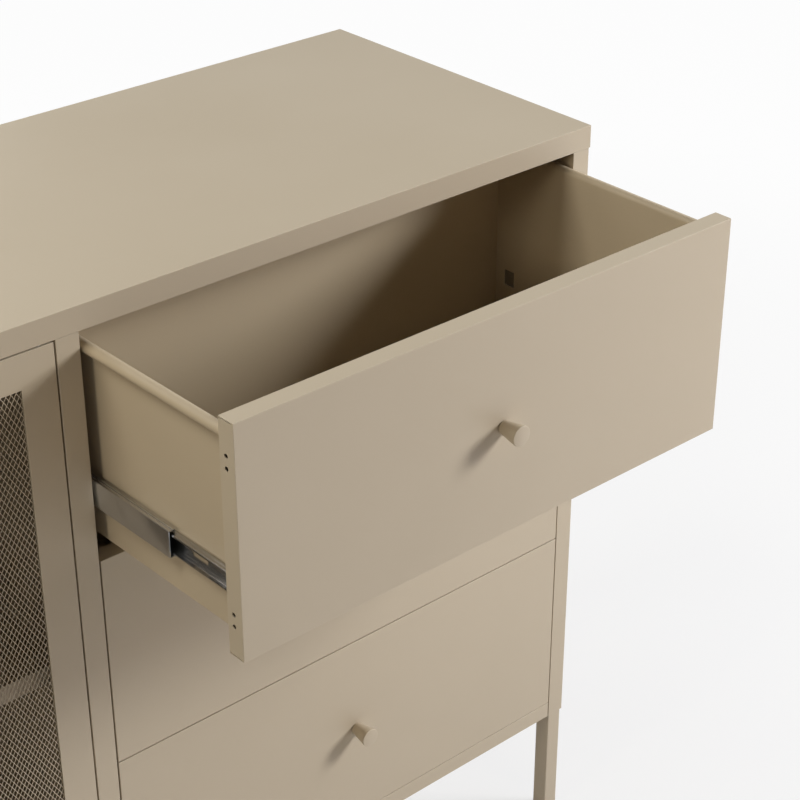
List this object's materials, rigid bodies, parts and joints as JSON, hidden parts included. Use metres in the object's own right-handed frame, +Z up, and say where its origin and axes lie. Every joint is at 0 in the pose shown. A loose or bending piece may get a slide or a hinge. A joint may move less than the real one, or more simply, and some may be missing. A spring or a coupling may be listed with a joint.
{
  "type": "credenza",
  "caption": "Low sheet-steel storage cabinet on square legs: drawers on telescopic rails beside a cupboard with diamond-mesh doors and a shelf.",
  "frame": {"origin": "on the floor, under the middle of the overall box at rest, which includes the open top drawer and its knob", "axes": "+X along the width to the user's right, -Y out of the front, +Z up"},
  "size_m": [1.2832, 0.6364, 0.9],
  "materials": {
    "taupe_powder_coat": "satin taupe powder coat",
    "zinc_plated_steel": "zinc-plated rolled steel",
    "dark_plastic": "matt dark plastic"
  },
  "bodies": {
    "carcass": {"top_panel": "taupe_powder_coat", "left_side_panel": "taupe_powder_coat", "right_side_panel": "taupe_powder_coat", "divider": "taupe_powder_coat", "bottom_panel": "taupe_powder_coat", "back_panel": "taupe_powder_coat", "leg_front_left": "taupe_powder_coat", "foot_cap_front_left": "dark_plastic", "leg_front_right": "taupe_powder_coat", "foot_cap_front_right": "dark_plastic", "leg_rear_left": "taupe_powder_coat", "foot_cap_rear_left": "dark_plastic", "leg_rear_right": "taupe_powder_coat", "foot_cap_rear_right": "dark_plastic", "shelf": "taupe_powder_coat", "shelf_rail_left": "taupe_powder_coat", "shelf_rail_right": "taupe_powder_coat", "bottom_cabinet_rail_left": "zinc_plated_steel", "bottom_cabinet_rail_right": "zinc_plated_steel", "middle_cabinet_rail_left": "zinc_plated_steel", "middle_cabinet_rail_right": "zinc_plated_steel", "top_cabinet_rail_left": "zinc_plated_steel", "top_cabinet_rail_right": "zinc_plated_steel"},
    "bottom_carriers": {"bottom_carrier_rail_left": "zinc_plated_steel", "bottom_carrier_rail_right": "zinc_plated_steel"},
    "bottom_drawer": {"bottom_drawer_front": "taupe_powder_coat", "bottom_drawer_left_side": "taupe_powder_coat", "bottom_drawer_right_side": "taupe_powder_coat", "bottom_drawer_tray": "taupe_powder_coat", "bottom_drawer_knob": "taupe_powder_coat", "bottom_drawer_rail_left": "zinc_plated_steel", "bottom_drawer_rail_right": "zinc_plated_steel"},
    "middle_carriers": {"middle_carrier_rail_left": "zinc_plated_steel", "middle_carrier_rail_right": "zinc_plated_steel"},
    "middle_drawer": {"middle_drawer_front": "taupe_powder_coat", "middle_drawer_left_side": "taupe_powder_coat", "middle_drawer_right_side": "taupe_powder_coat", "middle_drawer_tray": "taupe_powder_coat", "middle_drawer_knob": "taupe_powder_coat", "middle_drawer_rail_left": "zinc_plated_steel", "middle_drawer_rail_right": "zinc_plated_steel"},
    "top_carriers": {"top_carrier_rail_left": "zinc_plated_steel", "top_carrier_rail_right": "zinc_plated_steel"},
    "top_drawer": {"top_drawer_front": "taupe_powder_coat", "top_drawer_left_side": "taupe_powder_coat", "top_drawer_right_side": "taupe_powder_coat", "top_drawer_tray": "taupe_powder_coat", "top_drawer_knob": "taupe_powder_coat", "top_drawer_rail_left": "zinc_plated_steel", "top_drawer_rail_right": "zinc_plated_steel"},
    "left_door": {"left_door_frame": "taupe_powder_coat", "left_door_mesh": "taupe_powder_coat", "left_door_knob": "taupe_powder_coat", "left_door_upper_pin": "zinc_plated_steel", "left_door_lower_pin": "zinc_plated_steel"},
    "right_door": {"right_door_frame": "taupe_powder_coat", "right_door_mesh": "taupe_powder_coat", "right_door_knob": "taupe_powder_coat", "right_door_upper_pin": "zinc_plated_steel", "right_door_lower_pin": "zinc_plated_steel"}
  },
  "joints": [
    {"name": "bottom_drawer_slide", "type": "slide", "parent": "carcass", "child": "bottom_drawer", "axis": [0, -1, 0], "range_m": [0, 0.28]},
    {"name": "bottom_carrier_slide", "type": "slide", "parent": "carcass", "child": "bottom_carriers", "axis": [0, -1, 0], "range_m": [-0.0005, 0.1755]},
    {"name": "middle_drawer_slide", "type": "slide", "parent": "carcass", "child": "middle_drawer", "axis": [0, -1, 0], "range_m": [0, 0.28]},
    {"name": "middle_carrier_slide", "type": "slide", "parent": "carcass", "child": "middle_carriers", "axis": [0, -1, 0], "range_m": [-0.0005, 0.1755]},
    {"name": "top_drawer_slide", "type": "slide", "parent": "carcass", "child": "top_drawer", "axis": [0, -1, 0], "range_m": [-0.2123, 0.0677]},
    {"name": "top_carrier_slide", "type": "slide", "parent": "carcass", "child": "top_carriers", "axis": [0, -1, 0], "range_m": [-0.13319, 0.04281]},
    {"name": "left_door_hinge", "type": "hinge", "parent": "carcass", "child": "left_door", "pos_m": [-0.6019, -0.07685, 0.1725], "axis": [0, 0, -1], "range_deg": [0, 90]},
    {"name": "right_door_hinge", "type": "hinge", "parent": "carcass", "child": "right_door", "pos_m": [-0.02765, -0.07685, 0.1725], "axis": [0, 0, 1], "range_deg": [0, 90]}
  ],
  "couplings": [
    {"joint": "bottom_carrier_slide", "follows": "bottom_drawer_slide", "ratio": 0.625},
    {"joint": "middle_carrier_slide", "follows": "middle_drawer_slide", "ratio": 0.625},
    {"joint": "top_carrier_slide", "follows": "top_drawer_slide", "ratio": 0.625}
  ]
}
